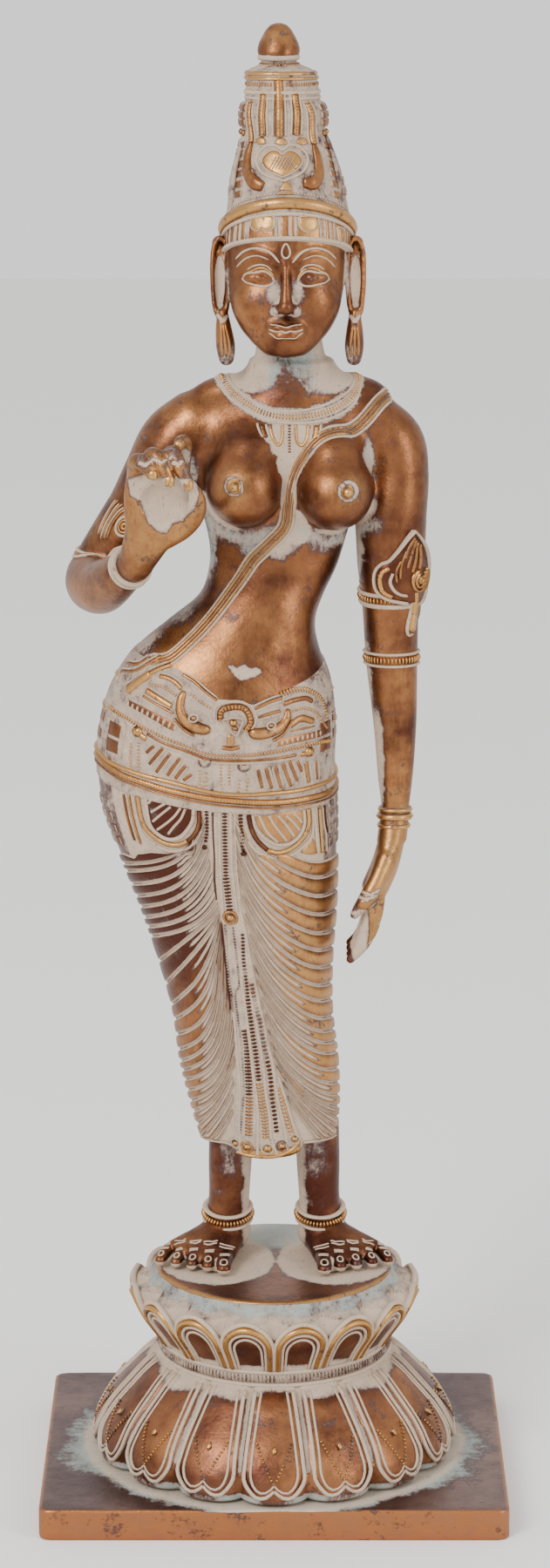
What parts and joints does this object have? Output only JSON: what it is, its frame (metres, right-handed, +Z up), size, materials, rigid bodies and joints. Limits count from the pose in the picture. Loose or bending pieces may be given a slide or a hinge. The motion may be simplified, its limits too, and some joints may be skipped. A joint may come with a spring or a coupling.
{
  "type": "goddess figure on a lotus pedestal",
  "caption": "Standing goddess of cast brass in a swayed pose, one hand raised, with a tall crown and a pleated skirt, on a double lotus and a rectangular plate.",
  "frame": {"origin": "middle of the plate's underside, which is the middle of the box seen from above", "axes": "+Z up, the figure looks along -Y, its raised hand on the -X side and its hanging arm on the +X side"},
  "size_m": [0.145, 0.1164, 0.4566],
  "materials": {
    "figure_brass": "coppery brown patina, rubbed bright on the heights, pale residue in the hollows",
    "lotus_brass": "coppery brown patina with pale and grey-green residue",
    "plate_brass": "dull purple-brown top, brushed golden edge"
  },
  "bodies": {
    "root": {"figure": "figure_brass", "lotus_pedestal": "lotus_brass", "base_plate": "plate_brass"}
  },
  "joints": []
}
